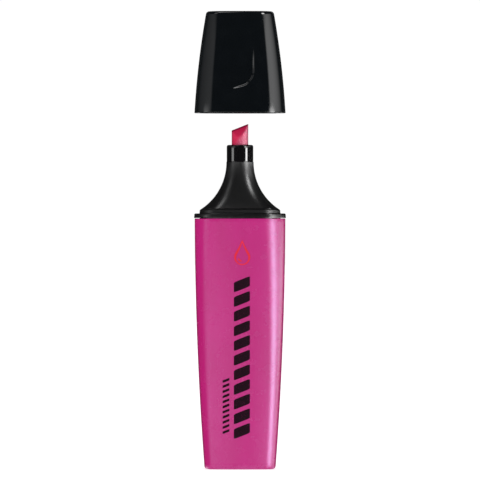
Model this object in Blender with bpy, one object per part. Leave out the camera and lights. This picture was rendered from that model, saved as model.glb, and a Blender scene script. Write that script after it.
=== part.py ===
"""Flat wedge-shaped highlighter with a chisel nib, its cap drawn clear above the nib.

The pen stands on its flat tail: +Z runs up its axis to the nib, X is its width and Y its
thickness. The origin is the middle of the tail's flat face. All lengths are in metres.

Every cross-section, from the round nib to the flat barrel, comes from one family: a base
outline of tangent arcs, scaled, then grown or pulled in along its normals. Two numbers
name a member, its half width and its half depth; a circle is the member with both equal.
The base outline is a blend of two, a round-cornered one for the mouth and a boxier one for
the tail, so the barrel's corners tighten towards its tail.
"""

import math

import bmesh
import bpy
from mathutils import Vector

MM = 0.001

# ---- Driving dimensions -------------------------------------------------------------

CLOSED_LENGTH = 105.1 * MM
RING_HALF_WIDTH = 13.5 * MM
RING_HALF_DEPTH = 8.5 * MM
FRONT_CROWN_RADIUS = 80.0 * MM  # the broad faces bulge very slightly
MOUTH_CORNER_RADIUS = 7.2 * MM
MOUTH_SIDE_RADIUS = 12.0 * MM
TAIL_CORNER_RADIUS = 4.0 * MM  # before the outline is scaled down to the tail's size
TAIL_SIDE_RADIUS = 24.0 * MM

FIT_GAP = 0.15 * MM  # between a piece and the one that it is pressed into
SEAT_GAP = 0.10 * MM  # under a piece that rests on another

# ---- Barrel -------------------------------------------------------------------------

BARREL_TOP = 73.6 * MM
BARREL_HALF_WIDTH = 13.33 * MM  # at the mouth, a little inside the ring
BARREL_ARC_RADIUS = 1019.0 * MM
BARREL_ARC_RISE = 3.3 * MM  # the flanks' arc would be upright this far above the mouth
BARREL_WALL = 1.3 * MM
BARREL_FLOOR = 1.6 * MM
TAIL_EDGE_RADIUS = 1.0 * MM
FIN_THICKNESS = 0.8 * MM
FIN_ROOT_DEPTH = 0.5 * MM  # how far under the outer skin a fin's root ends
FIN_TOP_GAP = 1.5 * MM  # between the fins and the spigot's end
BROAD_FIN_X = 4.5 * MM
STOP_INNER_X = 1.5 * MM
STOP_OUTER_X = 7.0 * MM

# ---- Front section: spigot, ring, lip, hollow cone and nozzle -------------------------

SPIGOT_LENGTH = 8.0 * MM
SPIGOT_WALL = 1.2 * MM
SPIGOT_CHAMFER = 0.4 * MM
BEAD_HEIGHT = 69.0 * MM
BEAD_PROUD = 0.12 * MM
BEAD_HALF_LENGTH = 0.5 * MM
RING_BOTTOM = BARREL_TOP + FIT_GAP
RING_TOP = 75.1 * MM
RING_EDGE = 0.15 * MM
LEDGE = 1.6 * MM  # the shelf that the cap's rim stands on
LIP_HEIGHT = 1.0 * MM
COLLAR_BOTTOM = 90.2 * MM
COLLAR_TOP = 95.25 * MM
COLLAR_RADIUS = 3.9 * MM
COLLAR_STEP = 0.1 * MM
COLLAR_RIM_RADIUS = 0.65 * MM
CONE_SHIFT = 1.2 * MM  # the cone's inside is its outside, this much lower
CONE_WALL = 1.0 * MM  # and this much narrower
BORE_BOTTOM = 84.4 * MM
CAVITY_TOP = 83.4 * MM
MOUTH_CHAMFER = 0.5 * MM
VENT_WIDTH = 0.7 * MM
VENT_DEPTH = 0.45 * MM
VENT_OVERSHOOT = 2.5 * MM  # the slots are cut past both ends of the bore
WEB_THICKNESS = 0.9 * MM
WEB_INNER_X = 3.3 * MM
WEB_ROOT_DEPTH = 0.7 * MM  # how far under the cone's outside a web's root ends

# ---- Nib ----------------------------------------------------------------------------

NIB_RADIUS = 2.45 * MM
NIB_BOTTOM = 62.5 * MM
NIB_TAIL_LENGTH = 2.5 * MM
NIB_TAIL_RADIUS = 1.2 * MM
NIB_EDGE_MIDDLE = 100.45 * MM
NIB_SLANT = math.radians(21.6)  # of the writing edge, high at +X
NIB_BEVEL = math.radians(30.0)  # of each chisel face from the nib's axis
NIB_EDGE_HALF_THICKNESS = 1.0 * MM

# ---- Ink reservoir ------------------------------------------------------------------

CORE_HALF_WIDTH = 8.3 * MM
CORE_HALF_DEPTH = 4.6 * MM
CORE_BOTTOM = 3.4 * MM
CORE_TOP = 69.5 * MM
CORE_EDGE = 0.4 * MM
FILM_THICKNESS = 0.25 * MM
FILM_GAP = 0.1 * MM
FILM_END_MARGIN = 0.3 * MM

# ---- Cap ----------------------------------------------------------------------------

CAP_HEIGHT = CLOSED_LENGTH - RING_TOP - SEAT_GAP
CAP_HALF_WIDTH = 13.4 * MM  # at the mouth
CAP_ARC_RADIUS = 252.6 * MM
CAP_ARC_DROP = 14.5 * MM  # the flanks' arc would be upright this far below the mouth
CAP_WALL = 1.3 * MM
CAP_CEILING = 1.4 * MM
CAP_EDGE_RADIUS = 0.9 * MM
CAP_LIFT = 29.4 * MM  # how far the cap is drawn off, clear of the nib

SEAL_BOTTOM = 15.4 * MM  # heights in the cap are from its mouth
SEAL_SHOULDER = 20.6 * MM
SEAL_TOP = 28.2 * MM
SEAL_GRIP_RADIUS = COLLAR_RADIUS + 0.1 * MM
SEAL_NECK_RADIUS = 3.2 * MM
SEAL_WALL = 1.0 * MM
SEAL_LEAD_IN = 0.4 * MM
SOCKET_WALL = 1.25 * MM
SOCKET_LENGTH = 4.9 * MM

# ---- Facets ---------------------------------------------------------------------------

SIDE_STEPS, CORNER_STEPS, FRONT_STEPS = 1, 6, 2  # of each arc in a quarter of the outline
EDGE_STEPS = 4  # round the tail's edge, the cap's top edge and the nozzle's rim
BARREL_STEPS = 8
CONE_STEPS = 9
CAVITY_STEPS = 5
CAP_STEPS = 6
FIN_STEPS = 3
WEB_STEPS = 4
SHARP_ANGLE = math.radians(30)
CUT_TOLERANCE = 1e-7

# ---- Colours: base colour, roughness --------------------------------------------------

FINISHES = {
    "barrel_plastic": ((0.56, 0.030, 0.235), 0.25),
    "cap_plastic": ((0.006, 0.007, 0.009), 0.12),
    "seal_plastic": ((0.02, 0.02, 0.022), 0.35),
    "front_plastic": ((0.014, 0.014, 0.015), 0.45),
    "nib_fibre": ((0.62, 0.03, 0.12), 0.75),
    "reservoir_fibre": ((0.70, 0.04, 0.22), 0.9),
    "reservoir_wrap": ((0.80, 0.55, 0.66), 0.3),
}


# ---- The section family ---------------------------------------------------------------


def quarter_arcs(side_radius, corner_radius):
    """A base outline's arcs from +X to +Y, as (centre, radius, angle where it ends).

    A side arc centred on the X axis, a corner arc tangent to it, and a front arc centred
    on the Y axis. The corner's centre is where two circles meet, one round each of the
    other centres, with radii that are the differences of the arcs' radii.
    """
    side = Vector((RING_HALF_WIDTH - side_radius, 0.0))
    front = Vector((0.0, RING_HALF_DEPTH - FRONT_CROWN_RADIUS))
    from_side = side_radius - corner_radius
    from_front = FRONT_CROWN_RADIUS - corner_radius
    span = (front - side).length
    along = (from_side**2 - from_front**2 + span**2) / (2 * span)
    across = math.sqrt(from_side**2 - along**2)
    forward = (front - side).normalized()
    corner = side + forward * along + Vector((-forward.y, forward.x)) * across
    return (
        (side, side_radius, math.atan2(corner.y, corner.x - side.x)),
        (corner, corner_radius, math.atan2(corner.y - front.y, corner.x)),
        (front, FRONT_CROWN_RADIUS, math.pi / 2),
    )


def point_facing(arcs, angle):
    """The point of an outline's quarter whose normal has this angle."""
    centre, radius = next((centre, radius) for centre, radius, last in arcs if angle <= last)
    return centre + radius * Vector((math.cos(angle), math.sin(angle)))


def base_outline():
    """(mouth point, tail point, shared normal) round the ring's outline, from +X."""
    mouth = quarter_arcs(MOUTH_SIDE_RADIUS, MOUTH_CORNER_RADIUS)
    tail = quarter_arcs(TAIL_SIDE_RADIUS, TAIL_CORNER_RADIUS)
    angles = [0.0]
    for (_, _, last), steps in zip(mouth, (SIDE_STEPS, CORNER_STEPS, FRONT_STEPS)):
        first = angles[-1]
        angles += [first + (last - first) * i / steps for i in range(1, steps + 1)]
    quarter = []
    for angle in angles:
        normal = Vector((math.cos(angle), math.sin(angle)))
        quarter.append((point_facing(mouth, angle), point_facing(tail, angle), normal))
    mirrored = [tuple(Vector((-v.x, v.y)) for v in place) for place in quarter[-2:0:-1]]
    upper = quarter + mirrored
    return upper + [tuple(-v for v in place) for place in upper]


BASE_OUTLINE = base_outline()


def outline(half_width, half_depth, height, boxy=0.0):
    """A ring of points: the family's member with these half sizes, at this height, its base
    outline blended from the mouth's to the tail's as boxy goes from 0 to 1."""
    scale = (half_width - half_depth) / (RING_HALF_WIDTH - RING_HALF_DEPTH)
    grow = half_width - scale * RING_HALF_WIDTH
    points = [mouth.lerp(tail, boxy) * scale + normal * grow for mouth, tail, normal in BASE_OUTLINE]
    return [(*point, height) for point in points]


def circle(radius, height):
    return outline(radius, radius, height)


def body_outline(half_width, inset, height, boxy=0.0):
    """The ring's outline scaled to a half width, then pulled in all round by inset."""
    half_depth = half_width * RING_HALF_DEPTH / RING_HALF_WIDTH
    return outline(half_width - inset, half_depth - inset, height, boxy)


# ---- Profiles -------------------------------------------------------------------------


def arc_drop(radius, distance):
    """How far an arc has fallen from its tangent, this far along it."""
    return radius - math.sqrt(radius**2 - distance**2)


def barrel_half_width(height):
    """Of the barrel's outside, at a height above its tail."""
    fall = arc_drop(BARREL_ARC_RADIUS, BARREL_TOP + BARREL_ARC_RISE - height)
    return BARREL_HALF_WIDTH + arc_drop(BARREL_ARC_RADIUS, BARREL_ARC_RISE) - fall


def barrel_outline(inset, height):
    """The barrel's outline at a height, pulled in by inset, and boxier the lower it is."""
    boxy = 1 - min(height / BARREL_TOP, 1) ** 2
    return body_outline(barrel_half_width(height), inset, height, boxy)


def cap_half_width(height):
    """Of the cap's outside, at a height above its mouth."""
    fall = arc_drop(CAP_ARC_RADIUS, height + CAP_ARC_DROP)
    return CAP_HALF_WIDTH + arc_drop(CAP_ARC_RADIUS, CAP_ARC_DROP) - fall


LIP_HALF_WIDTH = RING_HALF_WIDTH - LEDGE
LIP_HALF_DEPTH = RING_HALF_DEPTH - LEDGE
LIP_TOP = RING_TOP + LIP_HEIGHT
NECK_RADIUS = COLLAR_RADIUS + COLLAR_STEP


def flare(half_size, height):
    """The cone's half size at a height: an arc, upright at the collar, out to the lip."""
    out, down = half_size - NECK_RADIUS, COLLAR_BOTTOM - LIP_TOP
    radius = (out**2 + down**2) / (2 * out)
    return NECK_RADIUS + arc_drop(radius, max(COLLAR_BOTTOM - height, 0.0))


def spread(low, high, steps):
    """steps + 1 heights from low to high."""
    return [low + (high - low) * i / steps for i in range(steps + 1)]


# ---- Mesh making ----------------------------------------------------------------------


def finish(name):
    material = bpy.data.materials.get(name)
    if material:
        return material
    colour, roughness = FINISHES[name]
    material = bpy.data.materials.new(name)
    material.use_nodes = True
    shader = material.node_tree.nodes["Principled BSDF"]
    shader.inputs["Base Color"].default_value = (*colour, 1.0)
    shader.inputs["Roughness"].default_value = roughness
    shader.inputs["Metallic"].default_value = 0.0
    return material


def add_object(name, mesh, material, parent):
    mesh.shade_smooth()
    mesh.set_sharp_from_angle(angle=SHARP_ANGLE)
    mesh.materials.append(finish(material))
    obj = bpy.data.objects.new(name, mesh)
    bpy.context.scene.collection.objects.link(obj)
    obj.parent = parent
    return obj


def loft(rings, tube=False):
    """A closed surface through rings of points: capped at both ends, or joined into a tube."""
    bm = bmesh.new()
    loops = [[bm.verts.new(point) for point in ring] for ring in rings]
    count = len(loops[0])
    pairs = list(zip(loops, loops[1:]))
    if tube:
        pairs.append((loops[-1], loops[0]))
    else:
        bm.faces.new(list(reversed(loops[0])))
        bm.faces.new(loops[-1])
    for lower, upper in pairs:
        for i in range(count):
            j = (i + 1) % count
            bm.faces.new((lower[i], lower[j], upper[j], upper[i]))
    bmesh.ops.recalc_face_normals(bm, faces=bm.faces)
    return bm


def to_mesh(name, bm):
    mesh = bpy.data.meshes.new(name)
    bm.to_mesh(mesh)
    bm.free()
    return mesh


def plates(name, outlines):
    """One mesh of flat plates, each (corners in its own plane, axis across it, middle, thickness)."""
    bm = bmesh.new()
    for corners, across, middle, thickness in outlines:
        sides = []
        for offset in (middle - thickness / 2, middle + thickness / 2):
            if across == "Y":
                points = [(u, offset, z) for u, z in corners]
            else:
                points = [(offset, u, z) for u, z in corners]
            sides.append([bm.verts.new(p) for p in points])
        back, front = sides
        bm.faces.new(list(reversed(back)))
        bm.faces.new(front)
        for i in range(len(corners)):
            j = (i + 1) % len(corners)
            bm.faces.new((back[i], back[j], front[j], front[i]))
    bmesh.ops.recalc_face_normals(bm, faces=bm.faces)
    return to_mesh(name, bm)


def combine(obj, helper_mesh, operation, parent):
    """A Boolean of obj with a hidden helper object."""
    helper = bpy.data.objects.new(helper_mesh.name, helper_mesh)
    bpy.context.scene.collection.objects.link(helper)
    helper.parent = parent
    helper.hide_render = True
    helper.display_type = "WIRE"
    modifier = obj.modifiers.new(helper_mesh.name, "BOOLEAN")
    modifier.operation = operation
    modifier.solver = "EXACT"
    modifier.object = helper


def both_sides(corners):
    """A plate's corners, and the same mirrored in its first coordinate."""
    return corners, [(-u, z) for u, z in corners]


# ---- The pieces -----------------------------------------------------------------------


def make_barrel(parent):
    """Closed, hollow tail part, with fins inside that hold the reservoir off its walls."""
    rings = []
    for i in range(EDGE_STEPS):
        turn = math.pi / 2 * i / EDGE_STEPS
        inset = TAIL_EDGE_RADIUS * (1 - math.sin(turn))
        rings.append(barrel_outline(inset, TAIL_EDGE_RADIUS * (1 - math.cos(turn))))
    for height in spread(TAIL_EDGE_RADIUS, BARREL_TOP, BARREL_STEPS):
        rings.append(barrel_outline(0.0, height))
    groove = 2 * BEAD_HALF_LENGTH
    rings += [
        barrel_outline(BARREL_WALL, BARREL_TOP),
        barrel_outline(BARREL_WALL, BEAD_HEIGHT + groove),
        barrel_outline(BARREL_WALL - BEAD_PROUD, BEAD_HEIGHT),
    ]
    for height in spread(BEAD_HEIGHT - groove, BARREL_FLOOR, BARREL_STEPS):
        rings.append(barrel_outline(BARREL_WALL, height))
    barrel = add_object("barrel", to_mesh("barrel", loft(rings)), "barrel_plastic", parent)

    film_half_width = CORE_HALF_WIDTH + FILM_GAP + FILM_THICKNESS
    film_half_depth = CORE_HALF_DEPTH + FILM_GAP + FILM_THICKNESS
    low, high = BARREL_FLOOR - FIN_ROOT_DEPTH, RING_BOTTOM - SPIGOT_LENGTH - FIN_TOP_GAP
    heights = spread(low, high, FIN_STEPS)
    depth_share = RING_HALF_DEPTH / RING_HALF_WIDTH

    def fin(inner, share):
        roots = [(barrel_half_width(z) * share - FIN_ROOT_DEPTH, z) for z in heights]
        return [(inner, high), (inner, low)] + roots

    def stop(inner, outer):
        top = CORE_BOTTOM - SEAT_GAP
        return [(inner, low), (outer, low), (outer, top), (inner, top)]

    fins = []
    for corners in both_sides(fin(film_half_width + FIT_GAP, 1.0)):
        fins.append((corners, "Y", 0.0, FIN_THICKNESS))
    for x in (-BROAD_FIN_X, BROAD_FIN_X):
        for corners in both_sides(fin(film_half_depth + FIT_GAP, depth_share)):
            fins.append((corners, "X", x, FIN_THICKNESS))
    for corners in both_sides(stop(STOP_INNER_X, STOP_OUTER_X)):
        fins.append((corners, "Y", 0.0, FIN_THICKNESS))
    combine(barrel, plates("barrel_fins", fins), "UNION", parent)
    return barrel


def make_front_section(parent):
    """Spigot, ring, lip, flared cone and nozzle in one moulding, hollow from end to end."""
    spigot_bottom = RING_BOTTOM - SPIGOT_LENGTH
    spigot_inset = BARREL_WALL + FIT_GAP

    def spigot(height, change=0.0):
        return barrel_outline(spigot_inset - change, height)

    def cone(height):
        return outline(flare(LIP_HALF_WIDTH, height), flare(LIP_HALF_DEPTH, height), height)

    def cavity(height):
        above = height + CONE_SHIFT
        return outline(
            flare(LIP_HALF_WIDTH, above) - CONE_WALL,
            flare(LIP_HALF_DEPTH, above) - CONE_WALL,
            height,
        )

    rings = [
        spigot(spigot_bottom, -SPIGOT_CHAMFER),
        spigot(spigot_bottom + SPIGOT_CHAMFER),
        spigot(BEAD_HEIGHT - BEAD_HALF_LENGTH),
        spigot(BEAD_HEIGHT, BEAD_PROUD),
        spigot(BEAD_HEIGHT + BEAD_HALF_LENGTH),
        spigot(RING_BOTTOM),
        outline(RING_HALF_WIDTH - RING_EDGE, RING_HALF_DEPTH - RING_EDGE, RING_BOTTOM),
        outline(RING_HALF_WIDTH, RING_HALF_DEPTH, RING_BOTTOM + RING_EDGE),
        outline(RING_HALF_WIDTH, RING_HALF_DEPTH, RING_TOP - RING_EDGE),
        outline(RING_HALF_WIDTH - RING_EDGE, RING_HALF_DEPTH - RING_EDGE, RING_TOP),
        outline(LIP_HALF_WIDTH, LIP_HALF_DEPTH, RING_TOP),
    ]
    rings += [cone(height) for height in spread(LIP_TOP, COLLAR_BOTTOM, CONE_STEPS)]
    rings.append(circle(COLLAR_RADIUS, COLLAR_BOTTOM))
    for turn in spread(0.0, math.pi / 2, EDGE_STEPS - 1):
        radius = COLLAR_RADIUS - COLLAR_RIM_RADIUS * (1 - math.cos(turn))
        height = COLLAR_TOP - COLLAR_RIM_RADIUS * (1 - math.sin(turn))
        rings.append(circle(radius, height))
    bore = NIB_RADIUS + FIT_GAP
    rings.append(circle(bore + MOUTH_CHAMFER, COLLAR_TOP))
    rings.append(circle(bore, COLLAR_TOP - MOUTH_CHAMFER))
    rings.append(circle(bore, BORE_BOTTOM))
    cavity_heights = spread(CAVITY_TOP, LIP_TOP - CONE_SHIFT, CAVITY_STEPS)
    rings += [cavity(height) for height in cavity_heights]
    rings += [spigot(height, -SPIGOT_WALL) for height in (RING_BOTTOM - FIT_GAP, spigot_bottom)]
    mesh = to_mesh("front_section", loft(rings, tube=True))
    front = add_object("front_section", mesh, "front_plastic", parent)

    web_bottom = CORE_TOP + FIT_GAP
    web = [(WEB_INNER_X, web_bottom), (LIP_HALF_WIDTH - WEB_ROOT_DEPTH, web_bottom)]
    for height in spread(LIP_TOP, CAVITY_TOP, WEB_STEPS):
        web.append((flare(LIP_HALF_WIDTH, height) - WEB_ROOT_DEPTH, height))
    web.append((WEB_INNER_X, CAVITY_TOP))
    webs = [(corners, "Y", 0.0, WEB_THICKNESS) for corners in both_sides(web)]
    combine(front, plates("reservoir_stops", webs), "UNION", parent)

    reach = bore + VENT_DEPTH
    low, high = BORE_BOTTOM - VENT_OVERSHOOT, COLLAR_TOP + VENT_OVERSHOOT
    slot = [(-reach, low), (reach, low), (reach, high), (-reach, high)]
    vents = [(slot, "X", 0.0, VENT_WIDTH), (slot, "Y", 0.0, VENT_WIDTH)]
    for number, vent in enumerate(vents):
        combine(front, plates(f"vent_slots_{number}", [vent]), "DIFFERENCE", parent)
    return front


def make_nib(parent):
    """Round fibre rod with a pointed tail, ground to a slanted chisel edge."""
    rings = [
        circle(NIB_TAIL_RADIUS, NIB_BOTTOM),
        circle(NIB_RADIUS, NIB_BOTTOM + NIB_TAIL_LENGTH),
        circle(NIB_RADIUS, NIB_EDGE_MIDDLE + 2 * NIB_RADIUS),
    ]
    bm = loft(rings)
    up = Vector((-math.sin(NIB_SLANT), 0.0, math.cos(NIB_SLANT)))
    cuts = [(Vector((0.0, 0.0, NIB_EDGE_MIDDLE)), up)]
    for side in (-1, 1):
        normal = up * math.sin(NIB_BEVEL) + Vector((0.0, side * math.cos(NIB_BEVEL), 0.0))
        cuts.append((Vector((0.0, side * NIB_EDGE_HALF_THICKNESS, NIB_EDGE_MIDDLE)), normal))
    for point, normal in cuts:
        geometry = bm.verts[:] + bm.edges[:] + bm.faces[:]
        cut = bmesh.ops.bisect_plane(
            bm, geom=geometry, plane_co=point, plane_no=normal, clear_outer=True, dist=CUT_TOLERANCE
        )
        edges = [e for e in cut["geom_cut"] if isinstance(e, bmesh.types.BMEdge)]
        bmesh.ops.edgeloop_fill(bm, edges=edges)
    bmesh.ops.recalc_face_normals(bm, faces=bm.faces)
    return add_object("nib", to_mesh("nib", bm), "nib_fibre", parent)


def make_reservoir(parent):
    """The bundle of ink-holding fibre, and the film that is wrapped round it."""
    hole = NIB_RADIUS + FIT_GAP
    tail_top = NIB_BOTTOM + NIB_TAIL_LENGTH
    width, depth = CORE_HALF_WIDTH, CORE_HALF_DEPTH
    rings = [
        outline(width - CORE_EDGE, depth - CORE_EDGE, CORE_BOTTOM),
        outline(width, depth, CORE_BOTTOM + CORE_EDGE),
        outline(width, depth, CORE_TOP - CORE_EDGE),
        outline(width - CORE_EDGE, depth - CORE_EDGE, CORE_TOP),
        circle(hole, CORE_TOP),
        circle(hole, tail_top - FIT_GAP),
        circle(NIB_TAIL_RADIUS + FIT_GAP, NIB_BOTTOM - FIT_GAP),
    ]
    core = to_mesh("reservoir_core", loft(rings))
    add_object("reservoir_core", core, "reservoir_fibre", parent)

    low, high = CORE_BOTTOM + FILM_END_MARGIN, CORE_TOP - FILM_END_MARGIN
    inner_wall, outer_wall = FILM_GAP, FILM_GAP + FILM_THICKNESS
    rings = [
        outline(width + outer_wall, depth + outer_wall, low),
        outline(width + outer_wall, depth + outer_wall, high),
        outline(width + inner_wall, depth + inner_wall, high),
        outline(width + inner_wall, depth + inner_wall, low),
    ]
    film = to_mesh("reservoir_film", loft(rings, tube=True))
    add_object("reservoir_film", film, "reservoir_wrap", parent)


def make_cap_shell(parent):
    """The cap's outside: a tapered cup with rounded top edges and a socket in its ceiling."""
    ceiling = CAP_HEIGHT - CAP_CEILING
    edge_start = CAP_HEIGHT - CAP_EDGE_RADIUS
    rings = []
    for height in spread(0.0, edge_start, CAP_STEPS):
        rings.append(body_outline(cap_half_width(height), 0.0, height))
    for turn in spread(0.0, math.pi / 2, EDGE_STEPS)[1:]:
        height = edge_start + CAP_EDGE_RADIUS * math.sin(turn)
        inset = CAP_EDGE_RADIUS * (1 - math.cos(turn))
        rings.append(body_outline(cap_half_width(height), inset, height))
    rings.reverse()
    for height in spread(0.0, ceiling, CAP_STEPS):
        rings.append(body_outline(cap_half_width(height), CAP_WALL, height))
    shell = add_object("cap_shell", to_mesh("cap_shell", loft(rings)), "cap_plastic", parent)

    socket_inner = SEAL_NECK_RADIUS + SEAL_WALL + FIT_GAP
    socket_outer = socket_inner + SOCKET_WALL
    top, bottom = ceiling + CAP_CEILING / 2, ceiling - SOCKET_LENGTH
    rings = [
        circle(socket_inner, bottom),
        circle(socket_outer, bottom),
        circle(socket_outer, top),
        circle(socket_inner, top),
    ]
    combine(shell, to_mesh("seal_socket", loft(rings, tube=True)), "UNION", parent)

    web_inner = SEAL_GRIP_RADIUS + SEAL_WALL + FIT_GAP
    web = [(web_inner, top), (web_inner, SEAL_BOTTOM + FIT_GAP)]
    for height in spread(SEAL_BOTTOM + FIT_GAP, top, WEB_STEPS):
        web.append((cap_half_width(height) - CAP_WALL / 2, height))
    webs = [(corners, "Y", 0.0, WEB_THICKNESS) for corners in both_sides(web)]
    combine(shell, plates("cap_webs", webs), "UNION", parent)
    return shell


def make_inner_seal(parent):
    """The cup inside the cap that closes round the nozzle and keeps the nib moist."""
    grip, neck = SEAL_GRIP_RADIUS, SEAL_NECK_RADIUS
    step = SEAL_SHOULDER + (grip - neck)
    rings = [
        circle(neck + SEAL_WALL - SEAL_LEAD_IN, SEAL_TOP),
        circle(neck + SEAL_WALL, SEAL_TOP - SEAL_LEAD_IN),
        circle(neck + SEAL_WALL, step + SEAL_LEAD_IN),
        circle(grip + SEAL_WALL, SEAL_SHOULDER + SEAL_LEAD_IN),
        circle(grip + SEAL_WALL, SEAL_BOTTOM),
        circle(grip + SEAL_LEAD_IN, SEAL_BOTTOM),
        circle(grip, SEAL_BOTTOM + SEAL_LEAD_IN),
        circle(grip, SEAL_SHOULDER),
        circle(neck, step),
        circle(neck, SEAL_TOP - SEAL_WALL),
    ]
    mesh = to_mesh("cap_inner_seal", loft(rings))
    return add_object("cap_inner_seal", mesh, "seal_plastic", parent)


def add_empty(name, height):
    empty = bpy.data.objects.new(name, None)
    bpy.context.scene.collection.objects.link(empty)
    empty.location = (0.0, 0.0, height)
    return empty


def main():
    for obj in list(bpy.data.objects):
        bpy.data.objects.remove(obj)
    pen = add_empty("pen_axis", 0.0)
    make_barrel(pen)
    make_front_section(pen)
    make_nib(pen)
    make_reservoir(pen)
    cap = add_empty("cap_slide_axis", RING_TOP + SEAT_GAP + CAP_LIFT)
    make_cap_shell(cap)
    make_inner_seal(cap)


main()
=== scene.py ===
"""The looks of a flat, chisel-nibbed highlighter that stands on its tail, its cap drawn off.

Lengths are in metres in the CAD model's frame: +Z up the pen's axis, the print facing -Y.
"""

import math

import bmesh
import bpy
import numpy as np
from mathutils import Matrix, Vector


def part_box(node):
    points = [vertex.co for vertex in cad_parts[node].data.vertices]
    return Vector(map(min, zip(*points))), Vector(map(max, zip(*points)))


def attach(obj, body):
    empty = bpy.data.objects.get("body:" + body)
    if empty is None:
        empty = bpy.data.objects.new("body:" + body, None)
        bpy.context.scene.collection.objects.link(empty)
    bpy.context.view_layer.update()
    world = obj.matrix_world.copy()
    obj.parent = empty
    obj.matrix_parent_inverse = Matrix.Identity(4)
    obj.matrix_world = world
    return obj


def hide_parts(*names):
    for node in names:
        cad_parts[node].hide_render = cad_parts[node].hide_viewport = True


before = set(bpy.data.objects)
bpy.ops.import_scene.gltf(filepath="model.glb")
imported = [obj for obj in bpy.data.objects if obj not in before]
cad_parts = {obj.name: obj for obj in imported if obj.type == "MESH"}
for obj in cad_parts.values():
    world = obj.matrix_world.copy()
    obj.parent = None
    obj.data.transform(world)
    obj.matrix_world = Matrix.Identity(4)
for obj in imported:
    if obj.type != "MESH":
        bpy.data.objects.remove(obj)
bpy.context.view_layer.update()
MM = 0.001

# ---- Barrel ---------------------------------------------------------------------------
# The long coloured tail: polypropylene, dyed through, moulded as one thin-walled cup that is
# closed at the flat end it stands on. Ejected from a polished tool, with the gate in its tail.

barrel_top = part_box("barrel")[1].z
ring_half_width, ring_half_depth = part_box("front_section")[1].xy
FRONT_CROWN_RADIUS = 80.0 * MM
MOUTH_RADII = 12.0 * MM, 7.2 * MM
TAIL_RADII = 24.0 * MM, 4.0 * MM
BARREL_HALF_WIDTH = 13.33 * MM
BARREL_ARC_RADIUS = 1019.0 * MM
BARREL_ARC_RISE = 3.3 * MM
BARREL_WALL = 1.3 * MM
BARREL_FLOOR = 1.6 * MM
TAIL_EDGE_RADIUS = 1.0 * MM
GATE_RADIUS = 1.3 * MM
GATE_DEPTH = 0.3 * MM
SNAP_HEIGHT = 69.0 * MM
SNAP_HALF_LENGTH = 1.0 * MM
SNAP_DEPTH = 0.12 * MM
MOUTH_EDGE_RADIUS = 0.15 * MM
FLAT_END_INSET = 4.2 * MM
WELD_DISTANCE = 0.0001 * MM
DEEP_PINK = (0.528, 0.0018, 0.166, 1)
BRIGHT_PINK = (0.566, 0.0028, 0.188, 1)
RUBBED_PINK = (0.66, 0.12, 0.36, 1)
depth_share = ring_half_depth / ring_half_width


def arcs(side_radius, corner_radius):
    """An outline's side, corner and broad arcs, as centres, radii and the angles where they
    end. The corner's centre is where a circle round the side arc's centre meets one round the
    broad arc's, each with the difference between that arc's radius and the corner's."""
    side = np.array([ring_half_width - side_radius, 0.0])
    face = np.array([0.0, ring_half_depth - FRONT_CROWN_RADIUS])
    from_side = side_radius - corner_radius
    from_face = FRONT_CROWN_RADIUS - corner_radius
    span = np.linalg.norm(face - side)
    along = (from_side**2 - from_face**2 + span**2) / (2 * span)
    forward = (face - side) / span
    sideways = np.array([-forward[1], forward[0]])
    corner = side + along * forward + math.sqrt(from_side**2 - along**2) * sideways
    side_end = math.atan2(corner[1], corner[0] - side[0])
    face_start = math.atan2(corner[1] - face[1], corner[0])
    radii = np.array([side_radius, corner_radius, FRONT_CROWN_RADIUS])
    return np.array([side, corner, face]), radii, np.array([side_end, face_start])


def section(around):
    """The pen's outline at its mouth, at its tail, and their shared normals, at places from 0
    to 4 round it from +X. A quarter's places are equal steps along the mouth's three arcs, and
    the tail's points are those with the same normals. The other quarters are mirror images."""
    _, radii, (side_end, face_start) = arcs(*MOUTH_RADII)
    angles = np.array([0, side_end, face_start, math.pi / 2])
    lengths = np.concatenate([[0], np.cumsum(radii * np.diff(angles))])
    quarter = np.floor(around).astype(int) % 4
    part = around - np.floor(around)
    part = np.where(quarter % 2 == 1, 1 - part, part)
    turn = np.interp(part * lengths[-1], lengths, angles)
    normal = np.stack([np.cos(turn), np.sin(turn)], -1)
    mirror = np.stack([np.where(np.isin(quarter, (1, 2)), -1, 1), np.where(quarter > 1, -1, 1)], -1)
    points = []
    for centres, radii, ends in (arcs(*MOUTH_RADII), arcs(*TAIL_RADII)):
        arc = np.searchsorted(ends, turn)
        points.append((centres[arc] + radii[arc, None] * normal) * mirror)
    return points[0], points[1], normal * mirror


def skin(rows, columns, crowd=1.0, boxing=1.0):
    """A grid of points with a row for each (half width, half depth, height): the outline times
    a scale, plus its normals times a growth. The two half sizes fix scale and growth, and equal
    ones give a circle. Unless boxing is 0, the outline turns from the mouth's into the tail's
    below the barrel's mouth, with the square of the height. A crowd above 1 draws the columns
    towards the broad faces' middles."""
    quarter = np.linspace(0, 1, columns // 4, endpoint=False)
    to_face, to_side = 1 - (1 - quarter) ** crowd, quarter**crowd
    around = np.concatenate([to_face, 1 + to_side, 2 + to_face, 3 + to_side])
    mouth, tail, normals = section(around)
    width, depth, height = (column[:, None, None] for column in np.asarray(rows, float).T)
    scale = (width - depth) / (ring_half_width - ring_half_depth)
    boxy = boxing * (1 - np.minimum(height / barrel_top, 1) ** 2)
    flat = scale * (mouth + boxy * (tail - mouth)) + (width - scale * ring_half_width) * normals
    return np.concatenate([flat, np.broadcast_to(height, flat[..., :1].shape)], -1)


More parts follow.
